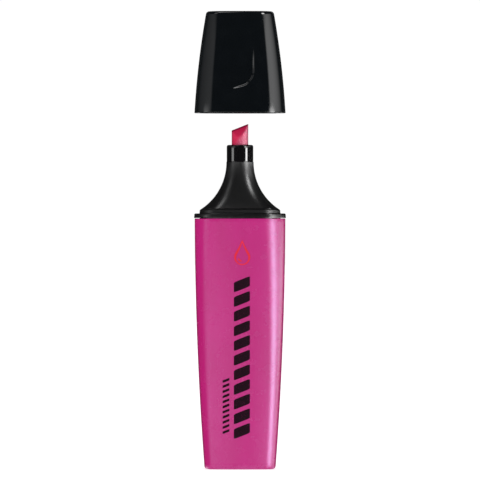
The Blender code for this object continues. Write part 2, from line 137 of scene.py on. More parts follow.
def rounded(corners, steps=5, longest=1.0 * MM):
    """A profile as points (across, up): each corner (across, up, radius) becomes a parabola
    tangent to its two sides, and straight runs are cut so that no piece is longer than longest."""
    points = [np.array(corners[0][:2])]
    for before, here, after in zip(corners, corners[1:], corners[2:]):
        corner = np.array(here[:2])
        back, ahead = (np.array(end[:2]) - corner for end in (before, after))
        back, ahead = back / np.linalg.norm(back), ahead / np.linalg.norm(ahead)
        half_angle = 0.5 * math.acos(np.clip(back @ ahead, -1, 1))
        cut = here[2] / math.tan(half_angle)
        t = np.linspace(0, 1, steps if here[2] else 1)[:, None]
        points.extend(corner + cut * ((1 - t) ** 2 * back + t**2 * ahead))
    points.append(np.array(corners[-1][:2]))
    runs = [points[0][None]]
    for start, end in zip(points, points[1:]):
        count = max(1, math.ceil(np.linalg.norm(end - start) / longest))
        runs.append(start + (end - start) * np.linspace(0, 1, count + 1)[1:, None])
    return np.concatenate(runs)


def mesh_of(name, grids, tube=False, sharp=40):
    """A mesh of closed surfaces. Each grid's columns join round; its first and last rows are
    closed with a fan to their middle point, or joined to each other in a tube. Points that
    coincide are welded, so that no face is left without area."""
    points, faces, used = [], [], 0
    for grid in grids:
        rows, columns = grid.shape[:2]
        index = used + np.arange(rows * columns).reshape(rows, columns)
        lower = np.concatenate([index, index[:1]]) if tube else index
        beside = np.roll(lower, -1, axis=1)
        quads = np.stack([lower[:-1], beside[:-1], beside[1:], lower[1:]], -1).reshape(-1, 4)
        faces.extend(quads.tolist())
        points.append(grid.reshape(-1, 3))
        used += rows * columns
        if not tube:
            points.append(np.stack([grid[0].mean(0), grid[-1].mean(0)]))
            first, last = index[0], index[-1]
            poles = np.full(columns, used)
            faces.extend(np.stack([np.roll(first, -1), first, poles], -1).tolist())
            faces.extend(np.stack([last, np.roll(last, -1), poles + 1], -1).tolist())
            used += 2
    mesh = bpy.data.meshes.new(name)
    mesh.from_pydata(np.concatenate(points), [], faces)
    welded = bmesh.new()
    welded.from_mesh(mesh)
    bmesh.ops.remove_doubles(welded, verts=welded.verts, dist=WELD_DISTANCE)
    welded.to_mesh(mesh)
    welded.free()
    mesh.shade_smooth()
    mesh.set_sharp_from_angle(angle=math.radians(sharp))
    return mesh


def place_piece(mesh, material, body, slot, *nodes):
    """Puts a mesh in the scene as a piece that rides on a body and stands for CAD nodes."""
    piece = bpy.data.objects.new(mesh.name, mesh)
    bpy.context.scene.collection.objects.link(piece)
    mesh.materials.append(material)
    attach(piece, body)
    if nodes:
        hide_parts(*nodes)
    return piece


class Wire:
    """A node's output. Arithmetic on wires and numbers adds Math nodes."""

    def __init__(self, socket):
        self.socket = socket

    def node(self, kind, sockets, output=0, stops=(), **settings):
        """Any other node: its settings and a ramp's stops, then its sockets' values or wires."""
        tree = self.socket.id_data
        made = tree.nodes.new("ShaderNode" + kind)
        for name, value in settings.items():
            setattr(made, name, value)
        for element, (position, colour) in zip(made.color_ramp.elements if stops else (), stops):
            element.position, element.color = position, colour
        for name, value in sockets.items():
            if isinstance(value, Wire):
                tree.links.new(value.socket, made.inputs[name])
            else:
                made.inputs[name].default_value = value
        return Wire(made.outputs[output])

    def math(self, operation, first, second):
        """A Math node's result for two values."""
        return self.node("Math", {0: first, 1: second}, operation=operation)

    def __add__(self, other):
        return self.math("ADD", self, other)

    def __sub__(self, other):
        return self.math("SUBTRACT", self, other)

    def __rsub__(self, other):
        return self.math("SUBTRACT", other, self)

    def __mul__(self, other):
        return self.math("MULTIPLY", self, other)

    __radd__ = __add__
    __rmul__ = __mul__


def new_material(name, **constants):
    """A material, its Principled shader with these sockets set, and its Object coordinates."""
    material = bpy.data.materials.new(name)
    material.use_nodes = True
    shader = material.node_tree.nodes["Principled BSDF"]
    for socket, value in constants.items():
        shader.inputs[socket.replace("_", " ")].default_value = value
    place = material.node_tree.nodes.new("ShaderNodeTexCoord")
    return material, shader, Wire(place.outputs["Object"])


def feed(shader, **wires):
    """Joins wires to the shader's sockets."""
    for socket, wire in wires.items():
        target = shader.inputs[socket.replace("_", " ")]
        shader.id_data.links.new(wire.socket, target)


def noise(place, grain, detail=2.0, stretch=(1, 1, 1), roughness=0.5):
    """Noise from 0 to 1 with grains of this size, stretched along X, Y and Z."""
    scale = tuple(1 / (grain * s) for s in stretch)
    spread = place.node("Mapping", {"Vector": place, "Scale": scale})
    return spread.node(
        "TexNoise", {"Vector": spread, "Scale": 1.0, "Detail": detail, "Roughness": roughness}
    )


def rise(wire, low, high):
    """A smooth step from 0 at low to 1 at high."""
    sockets = {"Value": wire, "From Min": low, "From Max": high}
    return wire.node("MapRange", sockets, interpolation_type="SMOOTHSTEP")


def mix(factor, first, second):
    """A colour between two, by a factor from 0 to 1."""
    return factor.node("Mix", {0: factor, 6: first, 7: second}, output=2, data_type="RGBA")


def relief(height, depth):
    """A Bump node's normal for a height from 0 to 1 that stands for this real depth."""
    return height.node("Bump", {"Strength": 1.0, "Distance": depth, "Height": height})


def up_axis(place):
    """The height of a place: its Z."""
    return place.node("SeparateXYZ", {0: place}, output=2)


def arc_fall(radius, distance):
    """How far an arc has dropped from its tangent, this far along it."""
    return radius - np.sqrt(radius**2 - distance**2)


def barrel_half_width(height):
    """The barrel's flanks: an arc that would be upright a little above the mouth."""
    fall = arc_fall(BARREL_ARC_RADIUS, barrel_top + BARREL_ARC_RISE - height)
    return BARREL_HALF_WIDTH + arc_fall(BARREL_ARC_RADIUS, BARREL_ARC_RISE) - fall


def body_rows(half_width, inset, height):
    """Rows whose outline is the ring's, scaled to a half width and then pulled in by inset."""
    return np.stack([half_width - inset, half_width * depth_share - inset, height], -1)


gate = rounded(
    [
        (0.4 * MM, 0.15 * MM, 0),
        (0.55 * MM, GATE_DEPTH, 0.1 * MM),
        (GATE_RADIUS - 0.15 * MM, GATE_DEPTH, 0.12 * MM),
        (GATE_RADIUS, 0.0, 0.1 * MM),
        (GATE_RADIUS + 0.3 * MM, 0.0, 0),
    ],
    longest=0.3 * MM,
)
gate_rows = np.stack([gate[:, 0], gate[:, 0], gate[:, 1]], -1)
wall = rounded(
    [
        (FLAT_END_INSET, 0.0, 0),
        (0.0, 0.0, TAIL_EDGE_RADIUS),
        (0.0, barrel_top, MOUTH_EDGE_RADIUS),
        (BARREL_WALL, barrel_top, MOUTH_EDGE_RADIUS),
        (BARREL_WALL, SNAP_HEIGHT + SNAP_HALF_LENGTH, 0.5 * MM),
        (BARREL_WALL - SNAP_DEPTH, SNAP_HEIGHT, 0.5 * MM),
        (BARREL_WALL, SNAP_HEIGHT - SNAP_HALF_LENGTH, 0.5 * MM),
        (BARREL_WALL, BARREL_FLOOR, 0.6 * MM),
        (FLAT_END_INSET, BARREL_FLOOR, 0),
    ],
    steps=7,
)
wall_rows = body_rows(barrel_half_width(wall[:, 1]), wall[:, 0], wall[:, 1])
barrel_mesh = mesh_of("barrel_moulding", [skin(np.concatenate([gate_rows, wall_rows]), 256)])


def barrel_plastic():
    """Dyed polypropylene: faint flow clouds in the colour, a polished but not perfect skin,
    hairline scuffs, and a duller, paler tail edge where it has stood and slid."""
    material, shader, place = new_material(
        "barrel_plastic", IOR=1.56, Specular_Tint=(0.42, 0.72, 1.0, 1)
    )
    clouds = noise(place, 9 * MM, detail=3, stretch=(1, 1, 2.5))
    grain = noise(place, 0.25 * MM, detail=2)
    scuffs = rise(noise(place, 0.9 * MM, detail=4, stretch=(0.12, 1, 4)), 0.64, 0.74)
    handling = rise(noise(place, 3.5 * MM, detail=3), 0.45, 0.75)
    worn = (1 - rise(up_axis(place), 0.2 * MM, 1.6 * MM)) * rise(grain, 0.35, 0.6)
    colour = mix(rise(clouds, 0.3, 0.7), DEEP_PINK, BRIGHT_PINK)
    colour = mix(worn * 0.5, colour, RUBBED_PINK)
    shine = 0.245 + 0.03 * handling + 0.10 * scuffs + 0.25 * worn + 0.03 * grain
    ripple = noise(place, 2.2 * MM, detail=1) * 0.75 + grain * 0.25
    feed(shader, Base_Color=colour, Roughness=shine, Normal=relief(ripple, 0.006 * MM))
    return material


barrel_finish = barrel_plastic()
place_piece(barrel_mesh, barrel_finish, "pen", "barrel_plastic", "barrel")

# ---- Fins in the barrel ---------------------------------------------------------------
# Thin upright fins of the barrel's moulding. Six hold the reservoir off the walls so that air
# can pass along it, and two low ones across the floor carry its end.

FIN_THICKNESS = 0.8 * MM
FIN_INTO_WALL = 0.3 * MM
FIN_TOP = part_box("front_section")[0].z - 1.5 * MM
BROAD_FIN_X = 4.5 * MM
STOP_FIN_START = 1.5 * MM
STOP_FIN_END = 7.0 * MM
CLEARANCE = 0.15 * MM
film_low, film_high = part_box("reservoir_film")
core_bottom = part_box("reservoir_core")[0].z


def plate(inner, outer, heights, middle, across):
    """A closed thin plate, standing up: its cross-section runs round from the inner to the
    outer edge of each height; middle is its place across the plate, along X or Y."""
    half = FIN_THICKNESS / 2
    inner, outer = inner + 0 * heights, outer + 0 * heights
    reach = np.stack([inner, outer, outer, inner], 1)
    side = np.broadcast_to([-half, -half, half, half], reach.shape) + middle
    up = np.broadcast_to(heights[:, None], reach.shape)
    if across == "Y":
        grid = np.stack([reach, side, up], -1)
    else:
        grid = np.stack([-side, reach, up], -1)
    return grid if reach[0, 1] > reach[0, 0] else grid[:, ::-1]


fin_heights = np.linspace(BARREL_FLOOR - FIN_INTO_WALL, FIN_TOP, 24)
wall_x = barrel_half_width(fin_heights) - BARREL_WALL + FIN_INTO_WALL
wall_y = barrel_half_width(fin_heights) * depth_share - BARREL_WALL + FIN_INTO_WALL
stop_heights = np.array([BARREL_FLOOR - FIN_INTO_WALL, core_bottom - 0.1 * MM])
fins = []
for end in (-1, 1):
    fins.append(plate(end * (film_high.x + CLEARANCE), end * wall_x, fin_heights, 0.0, "Y"))
    fins.append(plate(end * STOP_FIN_START, end * STOP_FIN_END, stop_heights, 0.0, "Y"))
    for x in (-BROAD_FIN_X, BROAD_FIN_X):
        fins.append(plate(end * (film_high.y + CLEARANCE), end * wall_y, fin_heights, x, "X"))
place_piece(mesh_of("barrel_fins", fins), barrel_finish, "pen", "barrel_plastic")

# ---- Print on the barrel --------------------------------------------------------------
# A generic print in black and red ink, rolled on in one pass and 0.02 mm thick: slanted bars as
# broad as the nib's edge writes, ticks as fine as its corner writes, and an ink drop.

INK_THICKNESS = 0.02 * MM
INK_SUNK = 0.02 * MM
BAR_SLANT = math.tan(math.radians(21.6))
BAR_LEFT, BAR_RIGHT = -1.8 * MM, 2.9 * MM
BAR_THICKNESS = 3.0 * MM
BAR_FOOT = 9.6 * MM
BAR_PITCH = 4.3 * MM
BAR_COUNT = 11
TICK_LEFT, TICK_RIGHT = -5.1 * MM, -3.1 * MM
TICK_THICKNESS = 0.75 * MM
TICK_FOOT = 12.4 * MM
TICK_PITCH = 1.5 * MM
DROP_CENTRE = (0.65 * MM, 62.3 * MM)
DROP_RADIUS = 2.35 * MM
DROP_TIP = 4.9 * MM
DROP_LINE = 0.55 * MM
SHINE_RADIUS = DROP_RADIUS - 1.15 * MM
SHINE_HALF_WIDTH = 0.26 * MM
INK_BLACK = (0.0100, 0.0002, 0.0050, 1)
INK_RED = (0.68, 0.022, 0.036, 1)
PINHOLE_PINK = (0.30, 0.02, 0.11, 1)


def front_surface(x, height, proud):
    """The y of the barrel's front at a place: the broad arc scaled with the barrel's width."""
    scale = barrel_half_width(height) / ring_half_width
    middle = scale * (ring_half_depth - FRONT_CROWN_RADIUS)
    return -(middle + np.sqrt((scale * FRONT_CROWN_RADIUS) ** 2 - x**2)) - proud


def print_patch(x, height):
    """A closed sliver of ink over a grid of places. Each row's columns run over the top of the
    ink, and back again under the barrel's surface."""
    top = np.stack([x, front_surface(x, height, INK_THICKNESS), height], -1)
    under = np.stack([x, front_surface(x, height, -INK_SUNK), height], -1)
    return np.concatenate([top, under[:, ::-1]], 1)


def slanted_bar(left, right, bottom, thickness, end_share=0.22, end_loss=0.14):
    """A bar from left to right that climbs by the slant times x. Over a share of its length at
    each end its thickness falls, with the cube of the way along, to lose this part of itself."""
    x = np.linspace(left, right, 25)
    from_end = np.minimum(x - left, right - x) / (right - left)
    tapered = thickness * (1 - end_loss * np.clip(1 - from_end / end_share, 0, 1) ** 3)
    middle = bottom + thickness / 2 + BAR_SLANT * x
    rows = np.linspace(-0.5, 0.5, 9)[:, None]
    return print_patch(np.broadcast_to(x, (9, 25)), middle + rows * tapered)


def ink(name, colour):
    """Screen-printing ink: nearly matt, thinner in pinholes where the plastic shows through."""
    material, shader, place = new_material(name, IOR=1.5, Specular_IOR_Level=0.05)
    speckle = noise(place, 0.12 * MM, detail=2)
    cover = rise(speckle, 0.24, 0.36)
    body = mix(noise(place, 1.5 * MM), colour, tuple(1.35 * c for c in colour[:3]) + (1,))
    feed(shader, Base_Color=mix(cover, PINHOLE_PINK, body), Roughness=0.40 + 0.25 * speckle)
    feed(shader, Normal=relief(speckle, 0.004 * MM))
    return material


def drop_outline(turn, inset):
    """An ink drop: a circle whose upper part is drawn out to a point above its centre."""
    lift = np.clip(np.sin(turn), 0, 1) ** 6
    width = (DROP_RADIUS - inset) * np.cos(turn) * (1 - 0.55 * lift)
    height = (DROP_RADIUS - inset) * np.sin(turn) + (DROP_TIP - DROP_RADIUS) * lift
    return DROP_CENTRE[0] + width, DROP_CENTRE[1] + height - inset * 0.4


def drop_ring():
    """The drop's outline as a tube of ink: rows run round it, columns round its thin section."""
    turn = np.linspace(0, 2 * math.pi, 96, endpoint=False)
    outer = drop_outline(turn, 0.0)
    inner = drop_outline(turn, DROP_LINE)
    across = np.linspace(1, 0, 5)[None, :]
    x = outer[0][:, None] + (inner[0] - outer[0])[:, None] * across
    height = outer[1][:, None] + (inner[1] - outer[1])[:, None] * across
    return print_patch(x, height)


def drop_shine():
    """The curved highlight inside the drop: a bar bent along an arc, thinner at its ends."""
    turn = np.linspace(math.radians(195), math.radians(265), 25)
    half = SHINE_HALF_WIDTH * np.sin(np.linspace(0.12, 0.88, 25) * math.pi)
    radius = SHINE_RADIUS + np.linspace(1, -1, 5)[:, None] * half
    x = DROP_CENTRE[0] + radius * np.cos(turn)
    height = DROP_CENTRE[1] + radius * np.sin(turn)
    return print_patch(x, height)


steps_up = np.arange(BAR_COUNT)
bars = [slanted_bar(BAR_LEFT, BAR_RIGHT, BAR_FOOT + BAR_PITCH * k, BAR_THICKNESS) for k in steps_up]
ticks = [
    slanted_bar(TICK_LEFT, TICK_RIGHT, TICK_FOOT + TICK_PITCH * k, TICK_THICKNESS) for k in steps_up
]
place_piece(
    mesh_of("printed_bars", bars + ticks), ink("black_ink", INK_BLACK), "pen", "barrel_plastic"
)
red_ink = ink("red_ink", INK_RED)
drop = mesh_of("printed_drop", [drop_ring()], tube=True)
place_piece(drop, red_ink, "pen", "barrel_plastic")
place_piece(mesh_of("printed_drop_shine", [drop_shine()]), red_ink, "pen", "barrel_plastic")

# ---- Ink reservoir --------------------------------------------------------------------
# A bundle of polyester fibre soaked with ink, cut square at both ends, with a blind slot that
# the nib's tail is pushed into, and a thin clear film shrunk round the bundle.

core_low, core_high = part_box("reservoir_core")
nib_low, nib_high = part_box("nib")
NIB_TAIL_LENGTH = 2.5 * MM
NIB_TAIL_RADIUS = 1.2 * MM
CORE_EDGE = 0.4 * MM
FILM_THICKNESS = 0.22 * MM
FILM_EDGE = 0.05 * MM
FIBRE_HOLLOW = (0.50, 0.015, 0.13, 1)
FIBRE_CREST = (0.80, 0.10, 0.32, 1)
FIBRE_DAMP = (0.42, 0.01, 0.10, 1)
FILM_STAINED = (0.80, 0.42, 0.58, 1)
FILM_CLEAR = (0.88, 0.62, 0.72, 1)


def core_mesh():
    """The bundle in one surface: up the sides of a rounded block, in over its top, and down
    the blind slot, whose foot narrows to the nib's tail."""
    hole = nib_high.y + CLEARANCE
    depth = core_high.y
    block = rounded(
        [
            (3.8 * MM, core_low.z, 0),
            (0.0, core_low.z, CORE_EDGE),
            (0.0, core_high.z, CORE_EDGE),
            (depth - hole - 0.4 * MM, core_high.z, 0),
        ]
    )
    rows = np.stack([core_high.x - block[:, 0], depth - block[:, 0], block[:, 1]], -1)
    slot = rounded(
        [
            (hole + 0.1 * MM, core_high.z, 0),
            (hole, core_high.z - 0.1 * MM, 0),
            (hole, nib_low.z + NIB_TAIL_LENGTH - CLEARANCE, 0),
            (NIB_TAIL_RADIUS + CLEARANCE, nib_low.z - CLEARANCE, 0),
        ]
    )
    slot_rows = np.stack([slot[:, 0], slot[:, 0], slot[:, 1]], -1)
    return mesh_of("reservoir_bundle", [skin(np.concatenate([rows, slot_rows]), 192, boxing=0)])


def reservoir_fibre():
    """Ink-soaked fibres that run lengthways, darker in the wet hollows between them."""
    material, shader, place = new_material("reservoir_fibre", IOR=1.45)
    strands = noise(place, 0.12 * MM, detail=4, stretch=(1, 1, 40))
    damp = noise(place, 6 * MM, stretch=(1, 1, 2))
    colour = mix(strands, FIBRE_HOLLOW, FIBRE_CREST)
    colour = mix(damp * 0.5, colour, FIBRE_DAMP)
    feed(shader, Base_Color=colour, Roughness=0.55 + 0.4 * strands)
    feed(shader, Normal=relief(strands, 0.05 * MM))
    return material


def film_mesh():
    """The film: a thin sleeve round the bundle, its profile a closed strip."""
    half_width, half_depth = film_high.xy
    sleeve = rounded(
        [
            (0.0, film_low.z + 1.0 * MM, 0),
            (0.0, film_high.z, FILM_EDGE),
            (FILM_THICKNESS, film_high.z, FILM_EDGE),
            (FILM_THICKNESS, film_low.z, FILM_EDGE),
            (0.0, film_low.z, FILM_EDGE),
        ]
    )
    rows = np.stack([half_width - sleeve[:, 0], half_depth - sleeve[:, 0], sleeve[:, 1]], -1)
    return mesh_of("reservoir_sleeve", [skin(rows, 192, boxing=0)], tube=True)


def reservoir_wrap():
    """Clear film, stained by the ink behind it, with fine lengthways draw lines."""
    material, shader, place = new_material(
        "reservoir_wrap", IOR=1.5, Transmission_Weight=0.35, Specular_IOR_Level=0.6
    )
    lines = noise(place, 0.3 * MM, detail=3, stretch=(1, 1, 30))
    colour = mix(lines, FILM_STAINED, FILM_CLEAR)
    feed(shader, Base_Color=colour, Roughness=0.15 + 0.15 * lines)
    feed(shader, Normal=relief(lines, 0.01 * MM))
    return material


place_piece(core_mesh(), reservoir_fibre(), "pen", "reservoir_fibre", "reservoir_core")
place_piece(film_mesh(), reservoir_wrap(), "pen", "reservoir_wrap", "reservoir_film")

# ---- Front section --------------------------------------------------------------------
# One black moulding: a spigot pressed into the barrel, the ring that the cap stands on, a lip
# that centres the cap, and a hollow cone up to the nozzle. The tool is spark-textured on the
# cone and polished on the nozzle's collar, which seals in the cap.

front_low, front_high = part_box("front_section")
RING_BOTTOM = barrel_top + 0.15 * MM
RING_TOP = 75.1 * MM
RING_DRAFT = 0.08 * MM
LEDGE = 1.6 * MM
LIP_TOP = RING_TOP + 1.0 * MM
COLLAR_BOTTOM = 90.2 * MM
COLLAR_RADIUS = 3.9 * MM
COLLAR_STEP = 0.1 * MM
CONE_SHIFT = 1.2 * MM
CONE_WALL = 1.0 * MM
SPIGOT_WALL = 1.2 * MM
BORE_BOTTOM = 84.4 * MM
VENT_REACH = 0.45 * MM
VENT_WIDTH = 0.7 * MM
VENT_RAMP = 0.16 * MM
WEB_START = 3.3 * MM
WEB_INTO_WALL = 0.25 * MM
SATIN_BLACK = (0.0040, 0.0036, 0.0044, 1)
TEXTURED_BLACK = (0.0058, 0.0058, 0.0064, 1)
RUBBED_BLACK = (0.09, 0.085, 0.09, 1)
spigot_inset = BARREL_WALL + CLEARANCE
lip_half_width, lip_half_depth = ring_half_width - LEDGE, ring_half_depth - LEDGE
bore_radius = nib_high.y + CLEARANCE


def flare(half_size, height):
    """The cone's half size at a height: an arc, upright at the collar, out to the lip's size."""
    neck = COLLAR_RADIUS + COLLAR_STEP
    out, down = half_size - neck, COLLAR_BOTTOM - LIP_TOP
    radius = (out**2 + down**2) / (2 * out)
    return neck + arc_fall(radius, np.maximum(COLLAR_BOTTOM - height, 0))


def cone_rows(heights, shift=0.0, wall=0.0):
    """The cone's rows at these heights, or its inside: the same, lower by shift and narrower."""
    above = heights + shift
    return np.stack(
        [flare(lip_half_width, above) - wall, flare(lip_half_depth, above) - wall, heights], -1
    )


def front_mesh():
    """The moulding in one tube: up its outside, over the nozzle's mouth and down inside."""
    spigot = rounded(
        [
            (spigot_inset + SPIGOT_WALL, front_low.z, 0),
            (spigot_inset + 0.4 * MM, front_low.z, 0.1 * MM),
            (spigot_inset, front_low.z + 0.4 * MM, 0.3 * MM),
            (spigot_inset, SNAP_HEIGHT - SNAP_HALF_LENGTH / 2, 0.2 * MM),
            (spigot_inset - SNAP_DEPTH, SNAP_HEIGHT, 0.2 * MM),
            (spigot_inset, SNAP_HEIGHT + SNAP_HALF_LENGTH / 2, 0.2 * MM),
            (spigot_inset, RING_BOTTOM, 0),
        ]
    )
    ring = rounded(
        [
            (1.0 * MM, RING_BOTTOM, 0),
            (0.0, RING_BOTTOM, 0.15 * MM),
            (RING_DRAFT, RING_TOP, 0.40 * MM),
            (LEDGE, RING_TOP, 0.12 * MM),
            (LEDGE + RING_DRAFT, LIP_TOP, 0.12 * MM),
            (LEDGE + 0.5 * MM, LIP_TOP + 0.32 * MM, 0),
        ],
        longest=0.4 * MM,
    )
    cone = np.linspace(LIP_TOP + 0.45 * MM, COLLAR_BOTTOM - 0.12 * MM, 70)
    collar = rounded(
        [
            (COLLAR_RADIUS + COLLAR_STEP, COLLAR_BOTTOM - 0.08 * MM, 0),
            (COLLAR_RADIUS + COLLAR_STEP, COLLAR_BOTTOM, 0.04 * MM),
            (COLLAR_RADIUS, COLLAR_BOTTOM, 0.04 * MM),
            (COLLAR_RADIUS, front_high.z, 0.65 * MM),
            (bore_radius + 0.55 * MM, front_high.z, 0.2 * MM),
            (bore_radius, front_high.z - 0.6 * MM, 0.3 * MM),
            (bore_radius, BORE_BOTTOM, 0.2 * MM),
            (bore_radius + 0.3 * MM, BORE_BOTTOM, 0),
        ],
        steps=9,
        longest=0.5 * MM,
    )
    inside = np.linspace(BORE_BOTTOM - 0.5 * MM, LIP_TOP - CONE_SHIFT, 30)
    sleeve = np.linspace(RING_BOTTOM - CLEARANCE, front_low.z, 12)
    rows = [
        body_rows(barrel_half_width(spigot[:, 1]), spigot[:, 0], spigot[:, 1]),
        np.stack([ring_half_width - ring[:, 0], ring_half_depth - ring[:, 0], ring[:, 1]], -1),
        cone_rows(cone),
        np.stack([collar[:, 0], collar[:, 0], collar[:, 1]], -1),
        cone_rows(inside, CONE_SHIFT, CONE_WALL),
        body_rows(barrel_half_width(sleeve), spigot_inset + SPIGOT_WALL, sleeve),
    ]
    collar_start = sum(len(part) for part in rows[:3])
    first_bore = collar_start + np.argmax(collar[:, 0] < bore_radius + 0.5 * MM)
    last_bore = collar_start + len(collar)
    grid = skin(np.concatenate(rows), 288)
    return mesh_of("front_moulding", [cut_vents(grid, first_bore, last_bore)], tube=True)


def cut_vents(grid, first, last):
    """Four slots down the bore: where a point lies within a slot's width of the X or Y axis, it
    moves out to the slot's reach, with a short ramp at each edge."""
    bore = grid[first:last]
    radius = np.linalg.norm(bore[..., :2], axis=-1, keepdims=True)
    from_axis = np.minimum(np.abs(bore[..., 0]), np.abs(bore[..., 1]))[..., None]
    share = np.clip((VENT_WIDTH / 2 - from_axis) / VENT_RAMP + 0.5, 0, 1)
    reach = np.maximum(radius, radius + share * (bore_radius + VENT_REACH - radius))
    bore[..., :2] *= reach / radius
    return grid


def front_plastic():
    """Black polypropylene: spark texture on the cone, satin on the ring and lip, and a mirror
    polish on the collar above the parting step. The ring's edges are rubbed by the cap."""
    material, shader, place = new_material("front_plastic", IOR=1.49)
    height = up_axis(place)
    polished = rise(height, COLLAR_BOTTOM - 0.03 * MM, COLLAR_BOTTOM + 0.03 * MM)
    textured = rise(height, RING_TOP + 0.05 * MM, RING_TOP + 0.25 * MM) * (1 - polished)
    grains = noise(place, 0.16 * MM, detail=3, roughness=0.6)
    drift = noise(place, 4 * MM)
    rubbed = rise(grains, 0.45, 0.7) * (1 - rise(height, RING_TOP, RING_TOP + 0.2 * MM))
    colour = mix(textured, SATIN_BLACK, TEXTURED_BLACK)
    colour = mix(0.10 * rubbed, colour, RUBBED_BLACK)
    shine = 0.05 + 0.14 * (1 - polished) + 0.07 * textured + 0.05 * drift * (1 - polished)
    depth = relief(grains * textured + drift * 0.02, 0.011 * MM)
    feed(shader, Base_Color=colour, Roughness=shine, Normal=depth)
    return material


front_finish = front_plastic()
place_piece(front_mesh(), front_finish, "pen", "front_plastic", "front_section")

web_heights = np.linspace(core_high.z + CLEARANCE, BORE_BOTTOM - 1.0 * MM, 16)
web_outer = flare(lip_half_width, np.maximum(web_heights + CONE_SHIFT, LIP_TOP)) - CONE_WALL
web_outer = np.minimum(web_outer + WEB_INTO_WALL, lip_half_width - CONE_WALL)
webs = [plate(end * WEB_START, end * web_outer, web_heights, 0.0, "Y") for end in (-1, 1)]
place_piece(mesh_of("reservoir_stop_webs", webs), front_finish, "pen", "front_plastic")

# ---- Nib ------------------------------------------------------------------------------
# A rod of bonded polyester fibre, ground at the factory to a slanted chisel and pointed at its
# tail, pushed through the nozzle into the reservoir. It is wet with ink to its writing edge.

NIB_EDGE_MIDDLE = 100.45 * MM
NIB_SLANT = math.radians(21.6)
NIB_BEVEL = math.radians(30.0)
NIB_EDGE_HALF_THICKNESS = 1.0 * MM
EDGE_WEAR = 0.07 * MM
STRAND_HEIGHT = 0.012 * MM
# Foot and lean of a painted highlight patch on the nib's lower right flank.
SHEEN_PATCH_FOOT = 95.6 * MM
SHEEN_PATCH_LEAN = math.radians(31.7)
WET_FROM, WET_TO = NIB_EDGE_MIDDLE - 0.70 * MM, NIB_EDGE_MIDDLE - 0.25 * MM
# Where painted shade on the rod's left and right sides begins.
SIDE_SHADE_FROM = 1.7 * MM
DEEP_CRIMSON = (0.66, 0.006, 0.070, 1)
BRIGHT_CRIMSON = (0.84, 0.016, 0.112, 1)
# Paler pink of the painted highlight patch.
PAINTED_SHEEN_PINK = (0.64, 0.060, 0.180, 1)
WET_INK = (0.30, 0.004, 0.048, 1)
# Darker crimson of the painted shade on the rod's sides.
PAINTED_SIDE_SHADE = (0.24, 0.005, 0.045, 1)


def nib_top(x, y):
    """The height of the ground end over a place: the least of three planes, the writing edge
    and the two bevels, blended where they meet by a soft minimum, as wear rounds them."""
    slope = math.tan(NIB_SLANT)
    edge = NIB_EDGE_MIDDLE + slope * x
    fall = 1 / (math.tan(NIB_BEVEL) * math.cos(NIB_SLANT))
    bevel = edge - (np.abs(y) - NIB_EDGE_HALF_THICKNESS) * fall
    high = np.minimum(edge, bevel)
    blend = np.exp((high - edge) / EDGE_WEAR) + np.exp((high - bevel) / EDGE_WEAR)
    return high - EDGE_WEAR * np.log(blend)


def nib_mesh():
    """The rod: rows up its tail and side to where the ground end cuts it, then rows inwards
    over the ground end. A row up the side divides the cut's height; one inwards, its radius.
    The fibres are three sine waves round the side and a fine ripple on the ground end."""
    columns = 256
    turn = np.linspace(0, 2 * math.pi, columns, endpoint=False)
    circle = np.stack([np.cos(turn), np.sin(turn)], -1)
    radius = nib_high.y
    tail_top = nib_low.z + NIB_TAIL_LENGTH
    waves = np.sin(41 * turn) + np.sin(67 * turn + 1.3) + np.sin(97 * turn + 4.0)
    side = radius + STRAND_HEIGHT * (waves - 3)
    tail = [np.concatenate([circle * NIB_TAIL_RADIUS, np.full((columns, 1), nib_low.z)], 1)]
    rim = nib_top(circle[:, 0] * side, circle[:, 1] * side) - EDGE_WEAR
    share = np.linspace(0, 1, 60)[:, None]
    heights = tail_top + (rim - tail_top) * share
    flank = np.stack([circle[:, 0] * side + 0 * heights, circle[:, 1] * side + 0 * heights, heights], -1)
    inward = side - EDGE_WEAR - (side - EDGE_WEAR) * np.linspace(0, 0.99, 56)[:, None]
    x, y = circle[:, 0] * inward, circle[:, 1] * inward
    rough = 0.010 * MM * np.sin(x / (0.13 * MM) + 2 * np.sin(y / (0.21 * MM))) * np.sin(y / (0.11 * MM))
    end = np.stack([x, y, np.minimum(nib_top(x, y) + rough, nib_high.z)], -1)
    return mesh_of("nib_rod", [np.concatenate([np.array(tail), flank, end])], sharp=60)


